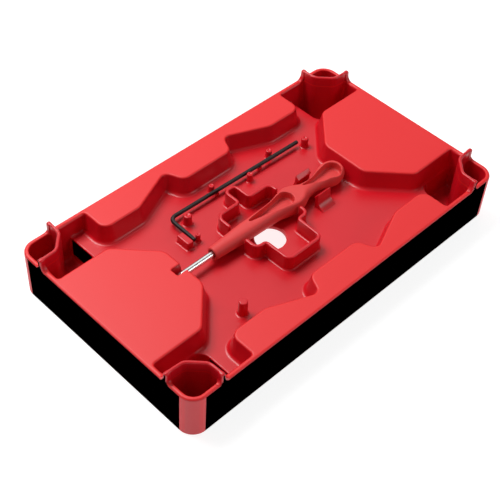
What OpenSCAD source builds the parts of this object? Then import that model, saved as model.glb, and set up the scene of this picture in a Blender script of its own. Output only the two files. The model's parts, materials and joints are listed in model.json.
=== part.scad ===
/* Moulded tool tray with a hex key and a bit driver lying in it.
   Origin: centre of the rest face, X along the long side, Y to the back, Z up. Millimetres. */

/* [Tray] */
// Length of the tray along X
tray_l = 205; // [195:1:215]
// Width of the tray along Y
tray_w = 117; // [113:1:125]
// Height of the four platforms above the table
rim_z = 25.5; // [24.5:0.5:30]
// Height of the main floor above the table
floor_z = 15.3; // [14:0.1:16]
// Radius of the four upright outer corners
corner_r = 8; // [4:0.5:12]
// Thickness of the outer wall
wall = 2.4; // [2:0.1:3]
// Thickness of floors, platform tops and skirts
skin = 2.3; // [2:0.1:2.6]
// How far the foot of a recess wall stands in from its top edge
lean = 2.2; // [1:0.1:2.4]

/* [Recess] */
// Distance from the centre to the inner edge of an end platform
end_edge_x = 54; // [53:0.5:56]
// Half width of that inner edge
end_edge_y = 13; // [10:0.5:15]
// Distance from the centre to where the end platform reaches full width
end_full_x = 72; // [68:0.5:74]
// Half width of an end platform
end_full_y = 31.5; // [29:0.5:33]
// Half length of a long platform
long_x = 65.5; // [62:0.5:68]
// Distance from the centre to the inner edge of a long platform
long_y = 41.7; // [40:0.1:43]
// Distance of the two notches of a long platform from the middle
notch_x = 20; // [18:0.5:22]
// Distance from the centre to the bottom of a notch
notch_y = 51.8; // [49:0.1:52.5]

/* [Corner wells] */
// Thickness of the floor of a well, which rests on the table
well_z = 2.3; // [2:0.1:4]
// Distance from the centre to the drop from the main floor into a well
well_x = 75; // [74:0.5:78]
// Thickness of the wall that bridges the corner
rib_t = 1.7; // [1.4:0.1:2.5]
// Height of that wall above the table
rib_top = 31; // [28:0.5:34]

/* [Nest] */
// Thickness of the upright nest wall
nest_t = 1.8; // [1.4:0.1:2.2]
// Height of the nest wall above the table
nest_top = 23.6; // [20:0.1:25]
// Radius of the hole through the floor
hole_r = 7.7; // [6:0.1:8]

/* [Hex key] */
// Width across the flats of the key
key_af = 2; // [1.5:0.1:2.2]
// Length of the long arm, over the bend
key_long = 86.5; // [80:0.5:87]
// Length of the short arm, over the bend
key_short = 19.2; // [17:0.1:20]
// Height of the key's centre line above the table
key_z = 18.2; // [17:0.1:19]

/* [Driver] */
// Height of the driver's centre line above the table
driver_z = 20.5; // [20.3:0.1:21]
// Diameter of the steel bit
bit_d = 3; // [2.5:0.1:3.2]

/* [Hidden] */
$fn = 48;

red = [0.86, 0.16, 0.16];
handle_red = [0.72, 0.20, 0.19];
inner_x = tray_l / 2 - wall;
inner_y = tray_w / 2 - wall;
inner_r = corner_r - wall;
under_floor = floor_z - skin;
arc_steps = 4;

// Upright walls of the nest: x, y and corner radius of the centre line
nest_path = [
  [14.4, -12.4, 3], [14.4, 13.5, 3.5], [1, 13.8, 1.6], [1, 24, 2.8],
  [-5.5, 24, 2.8], [-5.5, 14.2, 1.6], [-19.8, 14.2, 4], [-20.1, -12.6, 3],
  [-14.2, -12.8, 1.6], [-14, -27.6, 2.8], [7.6, -27.6, 2.8], [7.9, -12.6, 1.6]
];
// The driver lies through these two gaps in the nest: x from and to, y from and to
nest_gaps = [[-30, -10, -5.3, 5.1], [10, 30, -7.4, 8]];
hole_at = [-5.1, -7.4];

// Pegs round the key: x, y, radius and top
pegs = [
  [-28.1, 25.7, 2.1, 21.2], [15.1, 27.1, 1.6, 20], [34.5, 33.2, 1.6, 20],
  [54.4, 26.7, 1.9, 20.8], [-4.6, 34.2, 1.5, 19.6], [-32.1, 14.1, 1.2, 19.8]
];
// Where the centre lines of the key's arms would cross, and how the key is turned
key_corner = [-34.2, 31.6];
key_turn = -1.6;
saddle_at = [29, 58];
stop_x = [-39.9, -36.3];
stop_y = [12.4, 20.4];
stop_top = 19.6;

// Driver handle: x and radius of the turned outline, from the nose to the butt
grip = [
  [-36.3, 3.3], [-27, 3.9], [-18, 4.4], [-6, 4.7], [4, 5], [10, 6.1], [15.5, 7.2],
  [20, 6.4], [25, 4.4], [31, 3.7], [36, 4.3], [40.5, 5.8], [45, 6.4], [49.5, 5], [52, 1.6]
];
grip_low = floor_z + 0.3;
grip_high = 24.6;
grip_front = -6.6;
dish_floor = 20.4;
// Thumb dishes: x and y of the narrow end, its radius, then the round end
dishes = [[-9, 1.4, 0.8, 13.6, 1.6, 4.2], [31, -0.2, 0.8, 45, -0.3, 4.6]];
bit_tip_x = -57;
bit_point = 4;
bit_depth = 18;
slot_y = [-2.2, 2.4];
slot_x = [-59.6, -50];

// Hooks: x from and to, and how far the foot reaches out along Y
hook_back_x = [28, 37.4];
hook_front_x = [25.8, 35.2];
hook_back_foot = 10.6;
hook_front_foot = 13.2;
hook_lip_z = 21.2;
hook_top_z = 24.4;

function unit(v) = v / norm(v);
function xy(p) = [p[0], p[1]];
function at(path, i) = path[(i + len(path)) % len(path)];
function right_of(v) = [v[1], -v[0]];
function turn(a, b) = a[0] * b[1] - a[1] * b[0];
function wrap(a) = a > 180 ? a - 360 : a < -180 ? a + 360 : a;

// Moves each side of a closed path outwards, and keeps its corners concentric
function grown(path, by) = [
  for (i = [0:len(path) - 1])
    let (
      p = at(path, i),
      d1 = unit(xy(p) - xy(at(path, i - 1))),
      d2 = unit(xy(at(path, i + 1)) - xy(p)),
      n1 = right_of(d1),
      n2 = right_of(d2),
      q = xy(p) + by * (n1 + n2) / (1 + n1 * n2),
      r = p[2] <= 0 ? 0 : p[2] + (turn(d1, d2) > 0 ? by : -by)
    ) [q[0], q[1], p[2] <= 0 ? 0 : max(r, 0.3)]
];

// Turns the corners of a path into arcs
function rounded(path) = [
  for (i = [0:len(path) - 1])
    let (
      p = xy(at(path, i)),
      r = path[i][2],
      a = unit(xy(at(path, i - 1)) - p),
      b = unit(xy(at(path, i + 1)) - p),
      half = acos(max(-1, min(1, a * b))) / 2,
      centre = p + unit(a + b) * r / sin(half),
      s = p + a * r / tan(half) - centre,
      e = p + b * r / tan(half) - centre,
      start = atan2(s[1], s[0]),
      sweep = wrap(atan2(e[1], e[0]) - start)
    )
    each r <= 0 ? [p] : [
      for (k = [0:arc_steps])
        let (t = start + sweep * k / arc_steps) centre + r * [cos(t), sin(t)]
    ]
];

function end_path() = [
  [tray_l, -end_full_y, 0], [tray_l, end_full_y, 0], [end_full_x, end_full_y, 5],
  [end_edge_x, end_edge_y, 7], [end_edge_x, -end_edge_y, 7], [end_full_x, -end_full_y, 5]
];
function long_path() = [
  [long_x, tray_w, 0], [-long_x, tray_w, 0], [-long_x, long_y, 5],
  [-notch_x - 24, long_y, 9], [-notch_x, notch_y, 3.6], [-notch_x + 4.5, long_y, 5],
  [notch_x - 4.5, long_y, 5], [notch_x, notch_y, 3.6], [notch_x + 24, long_y, 9],
  [long_x, long_y, 5]
];
function corner_path() = [
  [84.3, tray_w, 0], [84.9, 49.6, 5], [92.3, 42, 5], [tray_l, 41.2, 0], [tray_l, tray_w, 0]
];

// Whether an anticlockwise triangle covers a point in plan
function covers(a, b, c, p) =
  turn(b - a, p - a) >= 0 && turn(c - b, p - b) >= 0 && turn(a - c, p - c) >= 0;

// Triangles that fill a flat ring of points, cut off it one corner at a time
function filled(ring, left) =
  len(left) == 3 ? [left] :
  let (
    m = len(left),
    corners = [for (i = [0:m - 1]) [left[(i + m - 1) % m], left[i], left[(i + 1) % m]]],
    free = [for (i = [0:m - 1])
      let (a = ring[corners[i][0]], b = ring[corners[i][1]], c = ring[corners[i][2]])
      let (blocked = [for (k = left) if (ring[k] != a && ring[k] != b && ring[k] != c
        && covers(a, b, c, ring[k])) k])
      if (turn(b - a, c - a) > 0 && len(blocked) == 0) i]
  )
  concat([corners[free[0]]], filled(ring, [for (i = [0:m - 1]) if (i != free[0]) left[i]]));

// Solid through rounded outlines with the same number of corners, each [path, height, reach],
// ended flat at that reach past the inside of the outer wall
module loft(levels) {
  rings = [for (v = levels) [for (p = rounded(v[0]))
    [min(p[0], inner_x + v[2]), min(p[1], inner_y + v[2]), v[1]]]];
  n = len(rings[0]);
  last = len(levels) - 1;
  top = last * n;
  polyhedron(
    points = [for (ring = rings) each ring],
    faces = concat(
      filled(rings[0], [for (i = [0:n - 1]) i]),
      [for (t = filled(rings[last], [for (i = [0:n - 1]) i])) [top + t[2], top + t[1], top + t[0]]],
      [for (k = [0:last - 1]) for (i = [0:n - 1])
        let (j = (i + 1) % n) [k * n + i, k * n + n + i, k * n + n + j, k * n + j]]
    )
  );
}

module block(path, z0, z1) {
  translate([0, 0, z0]) linear_extrude(z1 - z0) polygon(rounded(path));
}

module round_block(x, y, r, z0, z1) {
  block([[x, y, r], [-x, y, r], [-x, -y, r], [x, -y, r]], z0, z1);
}

module inside(z0, z1) { round_block(inner_x, inner_y, inner_r, z0, z1); }

// A platform: top, sloping skirt and a thin back against the outer wall, open below
module platform(path) {
  back = 0.8;
  spare = 1;
  foot = grown(path, lean);
  color(red) intersection() {
    loft([
      [grown(path, -skin), rim_z - skin, -back],
      [grown(path, lean - skin), under_floor, -back],
      [foot, under_floor, spare],
      [foot, floor_z, spare],
      [path, rim_z, spare]
    ]);
    inside(under_floor - spare, rim_z + spare);
  }
}

module outer_wall() {
  color(red) difference() {
    round_block(tray_l / 2, tray_w / 2, corner_r, 0, rim_z);
    inside(-1, rim_z + 1);
  }
}

module main_floor() {
  color(red) difference() {
    translate([-well_x, -inner_y, under_floor]) cube([2 * well_x, 2 * inner_y, skin]);
    for (s = [0, 180]) rotate(s) {
      block(grown(end_path(), lean), under_floor - 1, floor_z + 1);
      block(grown(long_path(), lean), under_floor - 1, floor_z + 1);
    }
    translate([hole_at[0], hole_at[1], under_floor - 1]) cylinder(r = hole_r, h = skin + 2);
  }
}

module platform_right() { platform(end_path()); }
module platform_back() { platform(long_path()); }
module platform_front() { rotate(180) platform(long_path()); }
// The left platform has a slot with its own walls for the tip of the bit
module platform_left() {
  lining = 1.5;
  color(red) difference() {
    union() {
      rotate(180) platform(end_path());
      translate([slot_x[0] - lining, slot_y[0] - lining, under_floor]) cube([
        -end_edge_x - slot_x[0] + lining - 0.5, slot_y[1] - slot_y[0] + 2 * lining, rim_z - under_floor
      ]);
    }
    translate([slot_x[0], slot_y[0], floor_z])
      cube([slot_x[1] - slot_x[0], slot_y[1] - slot_y[0], rim_z]);
  }
}

// Open box let into the corner, its floor on the table
module well() {
  side = end_full_y + lean;
  color(red) intersection() {
    difference() {
      translate([well_x - skin, side - skin, 0]) cube([tray_l, tray_w, under_floor]);
      translate([well_x, side, well_z]) cube([tray_l, tray_w, rim_z]);
    }
    inside(0, under_floor);
  }
}

// Thin wall across the corner, from the floor of the well to above the rim
module rib() {
  color(red) {
    intersection() {
      rib_ring(well_z, rim_z);
      inside(well_z, rim_z);
    }
    intersection() {
      rib_ring(rim_z, rib_top);
      round_block(tray_l / 2, tray_w / 2, corner_r, rim_z, rib_top);
    }
  }
}

module rib_ring(z0, z1) {
  difference() {
    block(grown(corner_path(), rib_t / 2), z0, z1);
    block(grown(corner_path(), -rib_t / 2), z0 - 1, z1 + 1);
  }
}

module at_corner(x, y) { scale_x(x) scale_y(y) children(); }
module scale_x(x) { if (x < 0) mirror([1, 0, 0]) children(); else children(); }
module scale_y(y) { if (y < 0) mirror([0, 1, 0]) children(); else children(); }

module well_front_left() { at_corner(-1, -1) well(); }
module well_front_right() { at_corner(1, -1) well(); }
module well_back_left() { at_corner(-1, 1) well(); }
module well_back_right() { at_corner(1, 1) well(); }
module rib_front_left() { at_corner(-1, -1) rib(); }
module rib_front_right() { at_corner(1, -1) rib(); }
module rib_back_left() { at_corner(-1, 1) rib(); }
module rib_back_right() { at_corner(1, 1) rib(); }

module nest_half(y0) {
  color(red) difference() {
    block(grown(nest_path, nest_t / 2), floor_z, nest_top);
    block(grown(nest_path, -nest_t / 2), floor_z - 1, nest_top + 1);
    for (g = nest_gaps)
      translate([g[0], g[2], floor_z - 1]) cube([g[1] - g[0], g[3] - g[2], rim_z]);
    translate([-40, y0 - 40, floor_z - 1]) cube([80, 40, rim_z]);
  }
}
module nest_wall_back() { nest_half(0); }
module nest_wall_front() { nest_half(40); }

module locating_peg() {
  color(red) translate([-47.3, -31.6, floor_z]) rotate_extrude()
    polygon([[0, 0], [2.6, 0], [2.3, 0.6], [2.2, 7.7], [1.7, 8.3], [0, 8.3]]);
}

module key_pegs() {
  color(red) for (p = pegs) translate([p[0], p[1], floor_z]) difference() {
    cylinder(r = p[2], h = p[3] - floor_z);
    if (p[2] > 2) translate([0, 0, p[3] - floor_z - 0.8]) cylinder(r = 0.9, h = 1);
  }
}

module key_stop() {
  color(red) translate([stop_x[0], stop_y[0], floor_z])
    cube([stop_x[1] - stop_x[0], stop_y[1] - stop_y[0], stop_top - floor_z]);
}

module key_frame() { translate([key_corner[0], key_corner[1], key_z]) rotate(key_turn) children(); }

// Low bars that carry the long arm clear of the floor
module key_saddles() {
  lift = key_z - key_af / 2 - floor_z - 0.05;
  color(red) for (x = saddle_at)
    key_frame() translate([x, -1.1, floor_z - key_z]) cube([1.6, 2.2, lift]);
}

// Snap hook that bears against +Y: straight inside, a lip, a lead-in above it
module hook(x, foot) {
  outline = [
    [7.1, floor_z], [7.1, hook_lip_z - 1.2], [6.3, hook_lip_z], [7.3, hook_top_z],
    [8.3, hook_top_z], [9, 20], [foot, floor_z]
  ];
  color(red) translate([x[1], 0, 0]) rotate([90, 0, -90])
    linear_extrude(x[1] - x[0]) polygon([for (p = outline) [-p[0], p[1]]]);
}
module hook_back() { hook(hook_back_x, hook_back_foot); }
module hook_front() { mirror([0, 1, 0]) hook(hook_front_x, hook_front_foot); }

// L-shaped key of six-sided bar, flats level
module hex_key() {
  bend_r = 1.7 * key_af;
  long_run = key_long - bend_r - key_af / 2;
  short_run = key_short - bend_r - key_af / 2;
  bar_r = key_af / 2 / cos(30);
  color([0.14, 0.13, 0.13]) key_frame() {
    translate([bend_r, 0, 0]) rotate([0, 90, 0]) rotate(30)
      cylinder(r = bar_r, h = long_run, $fn = 6);
    translate([0, -bend_r, 0]) rotate([90, 0, 0])
      cylinder(r = bar_r, h = short_run, $fn = 6);
    translate([bend_r, -bend_r, 0]) rotate(90) rotate_extrude(angle = 90)
      translate([bend_r, 0]) circle(r = bar_r, $fn = 6);
  }
}

function grip_point(i, t) =
  // Smooth curve through the grip radii
  let (
    n = len(grip),
    p0 = grip[max(i - 1, 0)], p1 = grip[i],
    p2 = grip[min(i + 1, n - 1)], p3 = grip[min(i + 2, n - 1)]
  ) 0.5 * (2 * p1 + t * (p2 - p0) + t * t * (2 * p0 - 5 * p1 + 4 * p2 - p3)
    + t * t * t * (3 * p1 - p0 - 3 * p2 + p3));
grip_curve = [for (i = [0:len(grip) - 2]) for (t = [0, 1 / 3, 2 / 3]) grip_point(i, t)];

module dish(d) {
  along = [d[3] - d[0], d[4] - d[1]];
  span = norm(along);
  lean_a = acos((d[2] - d[5]) / span);
  base = atan2(along[1], along[0]);
  outline = concat(
    [for (k = [0:6]) let (t = base + lean_a + (360 - 2 * lean_a) * k / 6)
      [d[0] + d[2] * cos(t), d[1] + d[2] * sin(t)]],
    [for (k = [0:14]) let (t = base - lean_a + 2 * lean_a * k / 14)
      [d[3] + d[5] * cos(t), d[4] + d[5] * sin(t)]]
  );
  translate([0, 0, dish_floor]) linear_extrude(10) polygon(outline);
}

module driver_handle() {
  n = len(grip);
  color(handle_red) difference() {
    intersection() {
      translate([0, 0, driver_z]) rotate([0, 90, 0]) rotate_extrude()
        polygon(concat(
          [[0, grip[0][0]]],
          [for (p = grip_curve) [p[1], p[0]]],
          [[grip[n - 1][1], grip[n - 1][0]], [0, grip[n - 1][0]]]
        ));
      translate([-60, grip_front, grip_low]) cube([130, 40, grip_high - grip_low]);
    }
    for (d = dishes) dish(d);
    translate([grip[0][0] - 1, 0, driver_z]) rotate([0, 90, 0]) cylinder(d = bit_d, h = bit_depth + 1);
  }
}

// Round steel bit with a chisel point, pressed into the nose of the handle
module driver_bit() {
  edge = 0.3;
  color([0.8, 0.8, 0.8]) translate([bit_tip_x, 0, driver_z]) intersection() {
    rotate([0, 90, 0]) cylinder(d = bit_d, h = grip[0][0] + bit_depth - bit_tip_x);
    rotate([90, 0, 0]) translate([0, 0, -bit_d]) linear_extrude(2 * bit_d)
      polygon([[0, -edge], [bit_point, -bit_d], [60, -bit_d], [60, bit_d], [bit_point, bit_d], [0, edge]]);
  }
}

outer_wall();
main_floor();
platform_left();
platform_right();
platform_front();
platform_back();
well_front_left();
well_front_right();
well_back_left();
well_back_right();
rib_front_left();
rib_front_right();
rib_back_left();
rib_back_right();
nest_wall_back();
nest_wall_front();
locating_peg();
key_pegs();
key_stop();
key_saddles();
hook_back();
hook_front();
hex_key();
driver_handle();
driver_bit();
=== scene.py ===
"""Moulded tool tray with an L-shaped hex key and a small bit driver, finished round its CAD frame.

The tray, its snap hooks, the grip and the bit are solids given as fields: functions of x, y and z in
millimetres that are negative inside. Fields blend with true fillets, as a moulding does, and surface()
turns each into a closed mesh. The hex key and its pegs are Geometry Nodes.
"""

import json
import math

import bmesh
import bpy
import numpy as np
from mathutils import Euler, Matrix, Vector


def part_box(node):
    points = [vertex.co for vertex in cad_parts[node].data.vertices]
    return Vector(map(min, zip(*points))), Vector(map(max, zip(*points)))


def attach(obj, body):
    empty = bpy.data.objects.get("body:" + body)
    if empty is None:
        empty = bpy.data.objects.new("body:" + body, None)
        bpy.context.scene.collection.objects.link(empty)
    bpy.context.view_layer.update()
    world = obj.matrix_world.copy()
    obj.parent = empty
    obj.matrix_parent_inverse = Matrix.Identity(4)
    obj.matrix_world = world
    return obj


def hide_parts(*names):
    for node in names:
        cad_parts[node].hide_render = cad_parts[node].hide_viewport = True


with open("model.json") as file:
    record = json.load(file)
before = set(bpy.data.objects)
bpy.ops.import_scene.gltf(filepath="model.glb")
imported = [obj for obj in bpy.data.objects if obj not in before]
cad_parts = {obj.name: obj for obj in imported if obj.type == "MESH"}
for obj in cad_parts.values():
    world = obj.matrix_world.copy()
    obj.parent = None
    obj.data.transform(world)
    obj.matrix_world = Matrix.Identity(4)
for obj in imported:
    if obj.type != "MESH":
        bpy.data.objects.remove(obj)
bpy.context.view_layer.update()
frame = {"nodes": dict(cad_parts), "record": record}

MM = 0.001


# ---------------------------------------------------------------- sizes from the frame, in millimetres
def box_mm(node):
    """Lowest and highest corner of a CAD node."""
    low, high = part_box(node)
    return np.array(low) / MM, np.array(high) / MM


floor_low, floor_high = box_mm("main_floor")
HALF_L, HALF_W, RIM = box_mm("outer_wall")[1]
FLOOR = floor_high[2]
WALL = HALF_W - floor_high[1]
SKIN = FLOOR - floor_low[2]
CORNER = 8.0
LEAN = 2.2
WELL_FLOOR = box_mm("rib_back_right")[0][2]
WELL_X = floor_high[0]
RIB_TOP = box_mm("rib_back_right")[1][2]
RIB_HALF = 0.85
NEST_TOP = box_mm("nest_wall_back")[1][2]
NEST_HALF = 0.9


# ---------------------------------------------------------------- camera and light
def add_camera():
    data = bpy.data.cameras.new("camera")
    data.lens = 76.98
    data.sensor_width = 36
    data.clip_start, data.clip_end = 0.01, 20
    camera = bpy.data.objects.new("camera", data)
    camera.location = (-0.26969, -0.23675, 0.38418)
    camera.rotation_euler = Euler([math.radians(a) for a in (42.687, -2.697, -44.645)])
    bpy.context.scene.collection.objects.link(camera)
    bpy.context.scene.camera = camera


def add_lamp(name, place, size, power):
    """Soft box aimed at the tray's middle."""
    data = bpy.data.lights.new(name, "AREA")
    data.shape = "RECTANGLE"
    data.size, data.size_y = size
    data.energy = power
    lamp = bpy.data.objects.new(name, data)
    lamp.location = place
    lamp.rotation_euler = (-Vector(place)).to_track_quat("-Z", "Y").to_euler()
    bpy.context.scene.collection.objects.link(lamp)


def add_studio():
    bpy.context.scene.view_settings.view_transform = "Standard"
    add_lamp("softbox_over", (-0.10, 0.38, 0.70), (0.45, 0.35), 6.3)
    add_lamp("softbox_back", (0.50, 0.45, 0.65), (0.8, 0.8), 1.6)
    add_lamp("softbox_right", (0.60, -0.85, 0.55), (0.4, 0.35), 2.2)
    world = bpy.data.worlds.new("studio")
    bpy.context.scene.world = world
    world.use_nodes = True
    background = world.node_tree.nodes["Background"]
    background.inputs["Color"].default_value = (1, 1, 1, 1)
    background.inputs["Strength"].default_value = 0.22


add_camera()
add_studio()


# ---------------------------------------------------------------- outlines
ARC_POINTS = 9


def rounded(path, closed=True):
    """Points of a path whose corners, each (x, y, radius), are turned into arcs."""
    points = []
    last = len(path) - 1
    for i, (x, y, r) in enumerate(path):
        p = np.array([x, y])
        if r <= 0 or (not closed and i in (0, last)):
            points.append((x, y))
            continue
        a = np.array(path[i - 1][:2]) - p
        b = np.array(path[(i + 1) % len(path)][:2]) - p
        a, b = a / np.hypot(*a), b / np.hypot(*b)
        half = math.acos(np.clip(a @ b, -1, 1)) / 2
        centre = p + (a + b) / np.hypot(*(a + b)) * r / math.sin(half)
        s, e = p + a * r / math.tan(half) - centre, p + b * r / math.tan(half) - centre
        start = math.atan2(s[1], s[0])
        sweep = (math.atan2(e[1], e[0]) - start + math.pi) % (2 * math.pi) - math.pi
        for k in range(ARC_POINTS):
            t = start + sweep * k / (ARC_POINTS - 1)
            points.append((centre[0] + r * math.cos(t), centre[1] + r * math.sin(t)))
    return points


FAR = 2 * HALF_L
END_PLATFORM = [
    (FAR, -31.5, 0), (FAR, 31.5, 0), (72, 31.5, 5), (54, 13, 7), (54, -13, 7), (72, -31.5, 5)
]
LONG_PLATFORM = [
    (65.5, FAR, 0), (-65.5, FAR, 0), (-65.5, 41.7, 5), (-44, 41.7, 9), (-20, 51.8, 3.6),
    (-15.5, 41.7, 5), (15.5, 41.7, 5), (20, 51.8, 3.6), (44, 41.7, 9), (65.5, 41.7, 5)
]
CORNER_WALL = [(84.3, HALF_W + 5, 0), (84.9, 49.6, 5), (92.3, 42, 5), (HALF_L + 5, 41.2, 0)]
WELL_SIDE = 31.5 + LEAN
NEST = [
    (14.4, -12.4, 3), (14.4, 13.5, 3.5), (1, 13.8, 1.6), (1, 24, 2.8), (-5.5, 24, 2.8),
    (-5.5, 14.2, 1.6), (-19.8, 14.2, 4), (-20.1, -12.6, 3), (-14.2, -12.8, 1.6),
    (-14, -27.6, 2.8), (7.6, -27.6, 2.8), (7.9, -12.6, 1.6)
]
NEST_GAPS = [(-30, -10, -5.3, 5.1), (10, 30, -7.4, 8)]
HOLE = (-5.1, -7.4, 7.7)
BIT_SLOT = (-59.6, -50, -2.2, 2.4)
SLOT_DEPTH = 0.5
PEG_FOOT_RADIUS, PEG_TAPER = 2.3, 0.02


# ---------------------------------------------------------------- fields
def to_line(points, x, y, closed=False):
    """Distance in plan from a run of straight lines."""
    nearest = np.inf
    ends = points[1:] + points[:1] if closed else points[1:]
    for (ax, ay), (bx, by) in zip(points, ends):
        ex, ey = bx - ax, by - ay
        t = np.clip(((x - ax) * ex + (y - ay) * ey) / (ex * ex + ey * ey), 0, 1)
        nearest = np.minimum(nearest, (x - ax - t * ex) ** 2 + (y - ay - t * ey) ** 2)
    return np.sqrt(nearest)


def to_outline(points, x, y):
    """Signed distance in plan from a closed outline, negative inside it."""
    inside = False
    for (ax, ay), (bx, by) in zip(points, points[1:] + points[:1]):
        if ay != by:
            crossing = ((ay > y) != (by > y)) & (x < ax + (y - ay) * (bx - ax) / (by - ay))
            inside = inside ^ crossing
    distance = to_line(points, x, y, closed=True)
    return np.where(inside, -distance, distance)


def both(a, b, r=0.0):
    """Where both solids are, with the new outer edge rounded to radius r."""
    if r == 0:
        return np.maximum(a, b)
    u, v = np.maximum(r + a, 0), np.maximum(r + b, 0)
    return np.minimum(-r, np.maximum(a, b)) + np.sqrt(u * u + v * v)


def joined(a, b, r=0.0):
    """Either solid, with a fillet of radius r where they meet."""
    return -both(-a, -b, r)


def cut(a, tool, r=0.0):
    """The first solid less the second, with the new edge rounded."""
    return both(a, -tool, r)


def slab(value, low, high):
    """Between two parallel planes."""
    return np.abs(value - (low + high) / 2) - (high - low) / 2


def bar(x, y, x0, x1, y0, y1, r=0.0):
    """Rectangle in plan with rounded corners."""
    return both(slab(x, x0, x1), slab(y, y0, y1), r)


END_POINTS, LONG_POINTS, NEST_POINTS = (rounded(p) for p in (END_PLATFORM, LONG_PLATFORM, NEST))
CORNER_POINTS = rounded(CORNER_WALL, closed=False)


def corner_wall(x, y, z, outer):
    """Thin wall across each corner."""
    wall = both(to_line(CORNER_POINTS, x, y) - RIB_HALF, z - RIB_TOP, 0.7)
    return both(wall, outer, 0.7)


def corner_lugs(x, y, z, outer):
    """Ends of the corner walls on the rim: steep to the pocket, with a long concave ramp to the recess."""
    reach = WALL + 0.3
    lugs = np.inf
    for along, across, half, at in ((x, y, HALF_W, CORNER_WALL[0][0]), (y, x, HALF_L, CORNER_WALL[-1][1])):
        ramp = joined(both(at - RIB_HALF - along, z - RIB_TOP, 1.2), z - RIM + 0.6, 4.2)
        lug = both(ramp, along - at - 1.6, 0.9)
        lugs = np.minimum(lugs, both(lug, half - reach - across, 0.5))
    return both(lugs, outer, 0.8)


def tray_body(x, y, z):
    """The moulding as if it were solid below: everything its upper side shows."""
    ax, ay = np.abs(x), np.abs(y)
    outer = both(ax - HALF_L, ay - HALF_W, CORNER)
    inner = outer + WALL
    skirt = LEAN * np.clip((RIM - z) / (RIM - FLOOR), 0, 1)
    in_plan = joined(to_outline(END_POINTS, ax, y), to_outline(LONG_POINTS, x, ay))
    platforms = in_plan - skirt

    sides = both(inner, -platforms, 1.5)
    recess = both(sides, FLOOR - z, 1.6)
    well_plan = both(WELL_X - ax, WELL_SIDE - ay, 6.0)
    well = both(both(sides, well_plan, 1.5), WELL_FLOOR - z, 2.0)
    hollow = joined(recess, well, 0.6)
    block = both(outer, z - RIM, 1.0)
    solid = cut(block, hollow, 0.8)

    solid = joined(solid, corner_wall(ax, ay, z, outer), 2.4)
    solid = np.minimum(solid, corner_lugs(ax, ay, z, outer))
    return both(solid, outer)


def tray(x, y, z):
    solid = tray_body(x, y, z)
    slot = both(bar(x, y, *BIT_SLOT, 0.4), FLOOR + SLOT_DEPTH - z, 0.4)
    solid = cut(solid, slot, 0.35)
    shell = cut(solid, solid + SKIN + 0.05, 0.3)
    shell = both(shell, -z, 0.4)

    nest = to_line(NEST_POINTS, x, y, closed=True) - NEST_HALF
    for gap in NEST_GAPS:
        nest = cut(nest, bar(x, y, *gap), 0.6)
    nest = both(both(nest, z - NEST_TOP, 0.6), FLOOR - 1 - z)
    shell = joined(shell, nest, 1.0)

    stop_low, stop_high = box_mm("key_stop")
    stop = bar(x, y, stop_low[0], stop_high[0], stop_low[1], stop_high[1], 0.4)
    stop = both(both(stop, z - stop_high[2], 0.4), FLOOR - 1 - z)
    shell = joined(shell, stop, 0.7)

    peg_low, peg_high = box_mm("locating_peg")
    middle = (peg_low + peg_high) / 2
    width = np.hypot(x - middle[0], y - middle[1]) - PEG_FOOT_RADIUS + PEG_TAPER * (z - FLOOR)
    peg = both(width, z - peg_high[2], 0.5)
    shell = joined(shell, both(peg, FLOOR - 1 - z), 0.9)

    hole = np.hypot(x - HOLE[0], y - HOLE[1]) - HOLE[2]
    return cut(shell, hole, 0.35)


def hook(outer_walls_painted_streak_shade):
    """Snap hook: straight inside, a lip, a lead-in above it and a foot that runs out on the floor."""
    name = "hook_back" if outer_walls_painted_streak_shade > 0 else "hook_front"
    low, high = box_mm(name)
    foot = max(abs(low[1]), abs(high[1]))
    lip_z, back = 21.2, 9.0

    def field(x, y, z):
        y = y * outer_walls_painted_streak_shade
        inside = 7.1 - y - 0.8 * np.clip((z - lip_z + 1.2) / 1.2, 0, 1)
        lead = (6.3 - y) * 0.75 + (z - lip_z) * 0.66
        flare = np.clip((20 - z) / (20 - FLOOR), 0, 1) ** 2.2
        outside = (y - back - (foot - back) * flare + 0.12 * np.maximum(z - 20, 0)) * 0.85
        shape = both(both(inside, lead, 0.3), outside, 0.35)
        shape = both(shape, z - high[2], 0.35)
        ends = slab(x, low[0], high[0])
        return both(both(shape, ends, 0.4), low[2] - z)

    return field, low - 1, high + 1


GRIP = [
    (-36.3, 3.3), (-27, 3.9), (-18, 4.4), (-6, 4.7), (4, 5), (10, 6.1), (15.5, 7.2),
    (20, 6.4), (25, 4.4), (31, 3.7), (36, 4.3), (40.5, 5.8), (45, 6.4), (49.5, 5), (52, 1.6)
]
DISHES = [(-10.5, 1.3, 0.7, 12.1, 0.2, 4.4), (26, 1.2, 0.5, 44.5, -0.8, 4.7)]
GRIP_AXIS = 20.5
GRIP_LOW, GRIP_HIGH = FLOOR + 0.3, 24.6
GRIP_FRONT = -6.6
DISH_FLOOR = 20.4
SOCKET_RADIUS, SOCKET_DEPTH = 2.2, 3
SHANK_IN_GRIP = 6


def grip_radius(x):
    """Smooth curve through the grip's radii."""
    table = []
    for i in range(len(GRIP) - 1):
        p0, p1, p2, p3 = (np.array(GRIP[min(max(i + k, 0), len(GRIP) - 1)]) for k in (-1, 0, 1, 2))
        for t in np.linspace(0, 1, 8, endpoint=False):
            table.append(0.5 * (2 * p1 + t * (p2 - p0) + t * t * (2 * p0 - 5 * p1 + 4 * p2 - p3)
                                + t ** 3 * (3 * p1 - p0 - 3 * p2 + p3)))
    table = np.array(table + [np.array(GRIP[-1])])
    return np.interp(x, table[:, 0], table[:, 1])


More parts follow.
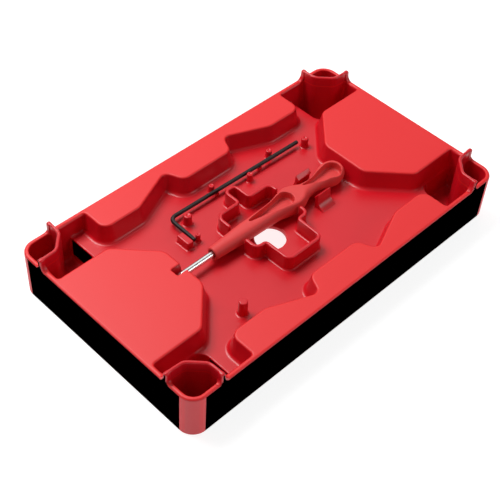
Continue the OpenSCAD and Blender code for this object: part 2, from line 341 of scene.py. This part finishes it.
def teardrop(x, y, dish):
    """Outline of a thumb dish: two circles and their common tangents, in plan."""
    x0, y0, r0, x1, y1, r1 = dish
    length = math.hypot(x1 - x0, y1 - y0)
    ux, uy = (x1 - x0) / length, (y1 - y0) / length
    along = (x - x0) * ux + (y - y0) * uy
    across = np.abs((y - y0) * ux - (x - x0) * uy)
    slope = (r1 - r0) / length
    rise = math.sqrt(1 - slope * slope)
    t = np.clip((along + across * slope / rise) / length, 0, 1)
    return np.hypot(along - t * length, across) - (r0 + t * (r1 - r0))


def grip(x, y, z):
    radius = grip_radius(x)
    slope = np.gradient(radius.ravel(), x.ravel()).reshape(radius.shape)
    turned = (np.hypot(y, z - GRIP_AXIS) - radius) / np.sqrt(1 + slope * slope)
    ends = slab(x, GRIP[0][0], GRIP[-1][0])
    body = both(turned, ends, 0.5)
    body = both(body, z - GRIP_HIGH, 0.7)
    body = both(body, GRIP_LOW - z, 0.5)
    body = both(body, GRIP_FRONT - y, 0.8)
    for dish in DISHES:
        scoop = both(teardrop(x, y, dish), DISH_FLOOR - z, 1.1)
        body = cut(body, scoop, 0.4)
    socket = both(np.hypot(y, z - GRIP_AXIS) - SOCKET_RADIUS, x - GRIP[0][0] - SOCKET_DEPTH)
    return cut(body, socket, 0.25)


def bit(x, y, z):
    tip, radius, point, edge = box_mm("driver_bit")[0][0], 1.5, 4.0, 0.3
    shank = np.hypot(y, z - GRIP_AXIS) - radius
    blade = np.abs(z - GRIP_AXIS) - edge - (radius * 2 - edge) * np.clip((x - tip) / point, 0, 3)
    shape = both(shank, blade * 0.83, 0.08)
    return both(shape, slab(x, tip, GRIP[0][0] + SHANK_IN_GRIP), 0.1)


# ---------------------------------------------------------------- field to mesh
def applied(piece):
    """Applies a piece's modifiers and keeps the result as a plain mesh."""
    before = piece.data
    graph = bpy.context.evaluated_depsgraph_get()
    plain = bpy.data.meshes.new_from_object(piece.evaluated_get(graph))
    piece.modifiers.clear()
    piece.data = plain
    bpy.data.meshes.remove(before)
    plain.name = piece.name
    return piece


def sample(grid, low, step, p):
    """Trilinear value of a grid at points."""
    q = np.clip((p - low) / step, 0, np.array(grid.shape) - 1.001)
    i = q.astype(np.int64)
    f = q - i
    value = 0
    for dx in (0, 1):
        for dy in (0, 1):
            for dz in (0, 1):
                weight = (
                    (f[:, 0] if dx else 1 - f[:, 0])
                    * (f[:, 1] if dy else 1 - f[:, 1])
                    * (f[:, 2] if dz else 1 - f[:, 2])
                )
                value = value + weight * grid[i[:, 0] + dx, i[:, 1] + dy, i[:, 2] + dz]
    return value


def slopes(grid, low, step, p):
    """Unit normals of a grid's level surface at points."""
    reach = 0.5 * step
    rises = [
        sample(grid, low, step, p + reach * e) - sample(grid, low, step, p - reach * e) for e in np.eye(3)
    ]
    g = np.stack(rises, 1)
    return g / np.maximum(np.linalg.norm(g, axis=1, keepdims=True), 1e-9)


def nets(field, low, high, step):
    """Surface nets: one vertex for each cell that the surface crosses, one quad for each grid edge."""
    counts = np.ceil((high - low) / step).astype(int) + 1
    axes = [(low[k] + step * np.arange(counts[k])).astype(np.float32) for k in range(3)]
    x, y, z = axes[0][:, None, None], axes[1][None, :, None], axes[2][None, None, :]
    grid = np.ascontiguousarray(np.broadcast_to(field(x, y, z), counts), dtype=np.float32)
    strides = np.array([counts[1] * counts[2], counts[2], 1])
    cells, places, quads = [], [], []
    for a in range(3):
        b, c = (a + 1) % 3, (a + 2) % 3
        near = np.take(grid, range(counts[a] - 1), a)
        far = np.take(grid, range(1, counts[a]), a)
        at = np.stack(np.nonzero((near < 0) != (far < 0)), 1)
        v0, v1 = near[tuple(at.T)], far[tuple(at.T)]
        point = at.astype(np.float64)
        point[:, a] += v0 / (v0 - v1)
        ring = []
        for db, dc in ((-1, -1), (0, -1), (0, 0), (-1, 0)):
            shift = np.zeros(3, int)
            shift[b], shift[c] = db, dc
            key = (at + shift) @ strides
            cells.append(key)
            places.append(point)
            ring.append(key)
        ring = np.stack(ring, 1)
        inwards = v0 > 0
        ring[inwards] = ring[inwards][:, ::-1]
        quads.append(ring)
    cells, places, quads = np.concatenate(cells), np.concatenate(places), np.concatenate(quads)
    names, index = np.unique(cells, return_inverse=True)
    index = index.ravel()
    total = np.bincount(index)
    points = np.stack([np.bincount(index, places[:, k]) / total for k in range(3)], 1) * step + low
    faces = np.searchsorted(names, quads)
    for _ in range(3):
        error = np.clip(sample(grid, low, step, points), -0.4 * step, 0.4 * step)
        points -= slopes(grid, low, step, points) * error[:, None]
    return grid, points, faces


def surface(name, field, low, high, step, most, material):
    """A closed mesh object on a field's surface, thinned where it is flat to at most so many triangles."""
    grid, points, faces = nets(field, low, high, step)
    mesh = bpy.data.meshes.new(name)
    mesh.from_pydata((points * MM).tolist(), [], faces.tolist())
    piece = bpy.data.objects.new(name, mesh)
    bpy.context.scene.collection.objects.link(piece)
    if 2 * len(faces) > most:
        thin = piece.modifiers.new("thin", "DECIMATE")
        thin.ratio = most / (2 * len(faces))
        thin.use_collapse_triangulate = True
        applied(piece)
    mesh = piece.data
    co = np.zeros(len(mesh.vertices) * 3)
    mesh.vertices.foreach_get("co", co)
    normals = slopes(grid, low, step, co.reshape(-1, 3) / MM)
    mesh.polygons.foreach_set("use_smooth", [True] * len(mesh.polygons))
    mesh.normals_split_custom_set_from_vertices(normals.tolist())
    mesh.materials.append(material)
    return piece


# ---------------------------------------------------------------- nodes and materials
def add_node(tree, kind, settings, values, named):
    """Adds a node: its settings first, then values or links for its sockets, in order or by name."""
    node = tree.nodes.new(kind)
    for key, value in settings.items():
        setattr(node, key, value)
    in_order = zip([s for s in node.inputs if s.enabled], values)
    by_name = ((node.inputs[key.replace("_", " ")], value) for key, value in named.items())
    for socket, value in (*in_order, *by_name):
        put(tree, socket, value)
    return node


def put(tree, socket, value):
    """Gives a socket a link, a colour or a plain value."""
    if isinstance(value, Number):
        value = value.socket
    if isinstance(value, bpy.types.NodeSocket):
        tree.links.new(value, socket)
    elif socket.type == "RGBA":
        socket.default_value = (*value[:3], 1)
    else:
        socket.default_value = value


class Number:
    """A number in a material: arithmetic on it adds Math nodes."""

    def __init__(self, finish, socket):
        self.finish, self.socket = finish, socket

    def math(self, operation, *values):
        return self.finish.node("ShaderNodeMath", {"operation": operation}, *values)["Value"]

    def __add__(self, other):
        return self.math("ADD", self, other)

    def __sub__(self, other):
        return self.math("SUBTRACT", self, other)

    def __rsub__(self, other):
        return self.math("SUBTRACT", other, self)

    def __mul__(self, other):
        return self.math("MULTIPLY", self, other)

    def __abs__(self):
        return self.math("ABSOLUTE", self)

    def larger(self, other):
        return self.math("MAXIMUM", self, other)

    def above(self, level, soft):
        """0 below a level and 1 above it, over a soft width."""
        settings = {"interpolation_type": "SMOOTHSTEP"}
        node = self.finish.node("ShaderNodeMapRange", settings, self, level - soft, level + soft, 0.0, 1.0)
        return node["Result"]

    __radd__ = __add__
    __rmul__ = __mul__


class Finish:
    """One procedural material."""

    def __init__(self, name):
        self.material = bpy.data.materials.new(name)
        self.material.use_nodes = True
        self.tree = self.material.node_tree
        self.shader = self.tree.nodes["Principled BSDF"]
        self.place = self.node("ShaderNodeTexCoord", {})["Object"]

    def node(self, kind, settings, *values, **named):
        """Adds a node and returns its outputs by name."""
        node = add_node(self.tree, kind, settings, values, named)
        return {s.name: Number(self, s) for s in node.outputs if s.enabled}

    def set(self, **values):
        for key, value in values.items():
            put(self.tree, self.shader.inputs[key.replace("_", " ")], value)

    def noise(self, grain, detail=2.0, stretch=(1, 1, 1), rough=0.5):
        """Noise of a grain size in metres, optionally stretched along an axis."""
        scale = tuple(1 / s for s in stretch)
        where = self.node("ShaderNodeMapping", {}, Vector=self.place, Scale=scale)["Vector"]
        node = self.node(
            "ShaderNodeTexNoise", {}, Vector=where, Scale=1 / grain, Detail=detail, Roughness=rough
        )
        return node["Fac"]

    def mix(self, factor, a, b):
        """Blend of two colours."""
        return self.node("ShaderNodeMix", {"data_type": "RGBA"}, factor, a, b)["Result"]

    def axes(self):
        node = self.node("ShaderNodeSeparateXYZ", {}, self.place)
        return node["X"], node["Y"], node["Z"]

    def relief(self, height, depth, strength=1.0):
        """Bump from a 0 to 1 height, its full depth in metres."""
        bump = self.node("ShaderNodeBump", {}, Height=height, Distance=depth, Strength=strength)
        self.set(Normal=bump["Normal"])


def tray_red():
    f = Finish("tray_red")
    x, y, z = f.axes()
    edge = 0.0006
    outside_x = abs(x).above(HALF_L * MM - edge, edge / 2)
    outside_y = abs(y).above(HALF_W * MM - edge, edge / 2)
    outside = outside_x.larger(outside_y) * (1 - z.above((RIM - 0.6) * MM, 0.0006))
    cloud = f.noise(0.045, 3)
    streak = f.noise(0.016, 2, stretch=(1, 1, 9))
    grain = f.noise(0.00035, 2)
    # The top faces at rim height: rougher, and coloured lighter and pinker than the recess as painted
    # light and sheen.
    matte_tops_painted_lighter = z.above((RIM - 0.5) * MM, 0.0003) * (1 - z.above((RIM + 0.3) * MM, 0.0001))
    # Painted shade: everything below the rim inside the tray gets a darker, deeper red than the tops,
    # mottled at random by the cloud noise.
    recess_painted_shade = f.mix(cloud, (0.53, 0.003, 0.010), (0.60, 0.004, 0.013))
    # Painted light on the tops, painted shade below them.
    recess_shade_top_light = f.mix(matte_tops_painted_lighter, recess_painted_shade, (0.70, 0.012, 0.014))
    # Outer walls: a lighter red whose soft vertical streaks of lighter and darker colour are painted
    # shading; the same streaks also give real relief below.
    outer_walls_painted_streak_shade = f.mix(streak, (0.62, 0.006, 0.014), (0.76, 0.018, 0.026))
    f.set(Base_Color=f.mix(outside * 0.8, recess_shade_top_light, outer_walls_painted_streak_shade))
    f.set(Roughness=0.28 + 0.10 * cloud + matte_tops_painted_lighter * 0.14 + outside * (0.12 + 0.10 * streak))
    f.set(IOR=1.5, Specular_IOR_Level=0.45)
    f.relief(grain * (0.12 + 0.5 * outside) + streak * outside * 6.0 + cloud * 3.0, 0.00002, 0.6)
    return f.material


def grip_red():
    f = Finish("grip_red")
    grain = f.noise(0.00030, 3, rough=0.6)
    cloud = f.noise(0.012, 3)
    f.set(Base_Color=f.mix(cloud, (0.60, 0.036, 0.036), (0.67, 0.046, 0.044)))
    f.set(Roughness=0.52 + 0.10 * grain, IOR=1.5, Specular_IOR_Level=0.4)
    f.relief(grain, 0.00003, 0.7)
    return f.material


def key_black():
    f = Finish("key_black")
    mottle = f.noise(0.0012, 4)
    scuff = f.noise(0.00025, 2, stretch=(14, 1, 1)).above(0.62, 0.08)
    f.set(Base_Color=f.mix(scuff * 0.5, (0.016, 0.012, 0.012), (0.06, 0.05, 0.048)))
    f.set(Metallic=0.55, Roughness=0.34 + 0.16 * mottle)
    f.relief(mottle, 0.00002, 0.5)
    return f.material


def bit_steel():
    f = Finish("bit_steel")
    lines = f.noise(0.00006, 2, stretch=(60, 1, 1))
    f.set(Base_Color=f.mix(lines, (0.72, 0.71, 0.70), (0.86, 0.85, 0.84)))
    f.set(Metallic=1.0, Roughness=0.16 + 0.16 * lines)
    f.relief(lines, 0.000004, 0.6)
    return f.material


# ---------------------------------------------------------------- pieces made with Geometry Nodes
class Nodes:
    """A Geometry Nodes tree with named size inputs."""

    def __init__(self, name, sizes):
        self.tree = bpy.data.node_groups.new(name, "GeometryNodeTree")
        face = self.tree.interface
        face.new_socket("Geometry", in_out="INPUT", socket_type="NodeSocketGeometry")
        self.keys = {}
        for key in sizes:
            socket = face.new_socket(key, in_out="INPUT", socket_type="NodeSocketFloat")
            self.keys[key] = socket.identifier
        face.new_socket("Geometry", in_out="OUTPUT", socket_type="NodeSocketGeometry")
        self.input = self.tree.nodes.new("NodeGroupInput")
        self.sizes = sizes

    def node(self, kind, settings, *values, **named):
        return add_node(self.tree, kind, settings, values, named)

    def build(self, name, geometry, material, start):
        """Runs the tree on a new object and keeps the result as a plain mesh."""
        real = self.node("GeometryNodeRealizeInstances", {}, geometry)
        smooth = self.node("GeometryNodeSetShadeSmooth", {}, real.outputs[0], Shade_Smooth=False)
        painted = self.node("GeometryNodeSetMaterial", {}, smooth.outputs[0], Material=material)
        end = self.tree.nodes.new("NodeGroupOutput")
        self.tree.links.new(painted.outputs[0], end.inputs[0])
        piece = bpy.data.objects.new(name, start)
        bpy.context.scene.collection.objects.link(piece)
        modifier = piece.modifiers.new(name, "NODES")
        modifier.node_group = self.tree
        for key, value in self.sizes.items():
            modifier[self.keys[key]] = value
        return applied(piece)


def bevelled(piece, width, segments):
    """Applies a bevel to a piece's sharp edges."""
    bevel = piece.modifiers.new("bevel", "BEVEL")
    bevel.width, bevel.segments = width, segments
    bevel.limit_method, bevel.angle_limit = "ANGLE", math.radians(30)
    return applied(piece)


KEY_CORNER, KEY_TURN, KEY_AXIS = (-34.2, 31.6), -1.6, 18.2
KEY_LONG, KEY_SHORT, KEY_FLATS, KEY_BEND = 86.5, 19.2, 2.0, 3.4


def hex_key(material):
    """Six-sided bar swept along an L with a rounded elbow."""
    half = KEY_FLATS / 2
    turn = math.radians(KEY_TURN)
    corner = Vector((*KEY_CORNER, KEY_AXIS)) * MM
    along = Vector((math.cos(turn), math.sin(turn), 0))
    down = Vector((math.sin(turn), -math.cos(turn), 0))
    ends = [corner + down * (KEY_SHORT - half) * MM, corner, corner + along * (KEY_LONG - half) * MM]
    mesh = bpy.data.meshes.new("hex_key_line")
    mesh.from_pydata(ends, [(0, 1), (1, 2)], [])
    n = Nodes("hex_key_bar", {"Across Flats": KEY_FLATS * MM, "Bend Radius": KEY_BEND * MM})
    size = n.input.outputs
    line = n.node("GeometryNodeMeshToCurve", {}, size["Geometry"])
    bent = n.node(
        "GeometryNodeFilletCurve", {"mode": "POLY"}, Curve=line.outputs[0], Radius=size["Bend Radius"],
        Count=14,
    )
    flats_to_corners = 2 * math.cos(math.radians(30))
    radius = n.node("ShaderNodeMath", {"operation": "DIVIDE"}, size["Across Flats"], flats_to_corners)
    ring = n.node("GeometryNodeCurvePrimitiveCircle", {}, Resolution=6, Radius=radius.outputs[0])
    swept = n.node(
        "GeometryNodeCurveToMesh", {}, Curve=bent.outputs[0], Profile_Curve=ring.outputs[0], Fill_Caps=True
    )
    return bevelled(n.build("hex_key_bar", swept.outputs[0], material, mesh), 0.16 * MM, 2)


PEGS = [
    (-28.1, 25.7, 2.1, 21.2), (15.1, 27.1, 1.6, 20), (34.5, 33.2, 1.6, 20),
    (54.4, 26.7, 1.9, 20.8), (-4.6, 34.2, 1.5, 19.6), (-32.1, 14.1, 1.2, 19.8)
]
PEG_TALL = 4.7


def key_pegs(material):
    """One turned peg, set at each place round the key and scaled to its radius and height."""
    profile = [
        (1.5, -0.25), (1.42, 0.0), (1.2, 0.10), (1.07, 0.22), (1.0, 0.5), (1.0, 4.0), (0.96, 4.35),
        (0.86, 4.6), (0.72, PEG_TALL), (0.42, PEG_TALL), (0.34, 4.55), (0.0, 4.45)
    ]
    rings = 40
    peg = bmesh.new()
    columns = []
    for k in range(rings):
        a = 2 * math.pi * k / rings
        ring = [(r * math.cos(a) * MM, r * math.sin(a) * MM, h * MM) for r, h in profile[:-1]]
        columns.append([peg.verts.new(point) for point in ring])
    top = peg.verts.new((0, 0, profile[-1][1] * MM))
    for k in range(rings):
        here, there = columns[k], columns[(k + 1) % rings]
        for j in range(len(here) - 1):
            peg.faces.new((here[j], there[j], there[j + 1], here[j + 1]))
        peg.faces.new((here[-1], there[-1], top))
    peg.faces.new([c[0] for c in columns][::-1])
    shape = bpy.data.meshes.new("peg_shape")
    peg.to_mesh(shape)
    peg.free()
    holder = bpy.data.objects.new("peg_shape", shape)
    bpy.context.scene.collection.objects.link(holder)

    places = bpy.data.meshes.new("peg_places")
    places.from_pydata([(x * MM, y * MM, FLOOR * MM) for x, y, _, _ in PEGS], [], [])
    sizes = places.attributes.new("peg_size", "FLOAT_VECTOR", "POINT")
    for item, (_, _, r, tall) in zip(sizes.data, PEGS):
        item.vector = (r, r, (tall - FLOOR) / PEG_TALL)
    n = Nodes("key_pegs_set", {"Girth": 1.0})
    shape_in = n.node("GeometryNodeObjectInfo", {"transform_space": "ORIGINAL"}, Object=holder)
    named = n.node("GeometryNodeInputNamedAttribute", {"data_type": "FLOAT_VECTOR"}, Name="peg_size")
    girth = n.node(
        "ShaderNodeVectorMath", {"operation": "SCALE"}, named.outputs["Attribute"],
        Scale=n.input.outputs["Girth"],
    )
    placed = n.node(
        "GeometryNodeInstanceOnPoints", {}, Points=n.input.outputs["Geometry"],
        Instance=shape_in.outputs["Geometry"], Scale=girth.outputs[0],
    )
    piece = n.build("key_pegs_set", placed.outputs[0], material, places)
    bpy.data.objects.remove(holder)
    for face in piece.data.polygons:
        face.use_smooth = len(face.vertices) < 6
    return piece


# ---------------------------------------------------------------- the object
def add_floor():
    """Plain pale table top."""
    mesh = bpy.data.meshes.new("table")
    far = 3.0
    corners = [(-far, -far, 0), (far, -far, 0), (far, far, 0), (-far, far, 0)]
    mesh.from_pydata(corners, [], [(0, 1, 2, 3)])
    table = bpy.data.objects.new("table", mesh)
    bpy.context.scene.collection.objects.link(table)
    f = Finish("table_white")
    f.set(Base_Color=f.mix(f.noise(0.05), (0.30, 0.30, 0.30), (0.32, 0.32, 0.32)), Roughness=0.8)
    f.set(Emission_Color=(1, 1, 1), Emission_Strength=0.85)
    mesh.materials.append(f.material)


def place(piece, body, slot, *nodes):
    """Says which body a piece rides on and hides the CAD nodes it stands for; the slot is not used."""
    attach(piece, body)
    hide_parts(*nodes)


add_floor()
red, grip_finish, black, steel = tray_red(), grip_red(), key_black(), bit_steel()

low = np.array([-HALF_L, -HALF_W, 0.0]) - 1
high = np.array([HALF_L, HALF_W, RIB_TOP]) + 1
moulding = surface("tray_moulding", tray, low, high, 0.5, 190_000, red)
own_pieces = ("key_pegs", "key_saddles")
tray_nodes = [n for n in frame["record"]["behaviour"]["bodies"]["tray"] if n not in own_pieces]
place(moulding, "tray", "tray", *tray_nodes)
pegs = key_pegs(red)
place(pegs, "tray", "tray", "key_pegs")
saddles = frame["nodes"]["key_saddles"].data.materials
saddles.clear()
saddles.append(red)

for outer_walls_painted_streak_shade, name in ((1, "hook_back"), (-1, "hook_front")):
    field, hook_low, hook_high = hook(outer_walls_painted_streak_shade)
    piece = surface(name + "_clip", field, hook_low, hook_high, 0.16, 40_000, red)
    place(piece, name, "tray", name)

grip_low, grip_high = box_mm("driver_handle")
handle = surface("driver_grip", grip, grip_low - 0.7, grip_high + 0.7, 0.26, 120_000, grip_finish)
place(handle, "driver", "handle", "driver_handle")
bit_low, bit_high = box_mm("driver_bit")
shank_high = np.array([GRIP[0][0] + SHANK_IN_GRIP + 0.4, *(bit_high[1:] + 0.4)])
shank = surface("driver_shank", bit, bit_low - 0.4, shank_high, 0.14, 60_000, steel)
place(shank, "driver", "bit_steel", "driver_bit")

key = hex_key(black)
place(key, "hex_key", "key_steel", "hex_key")
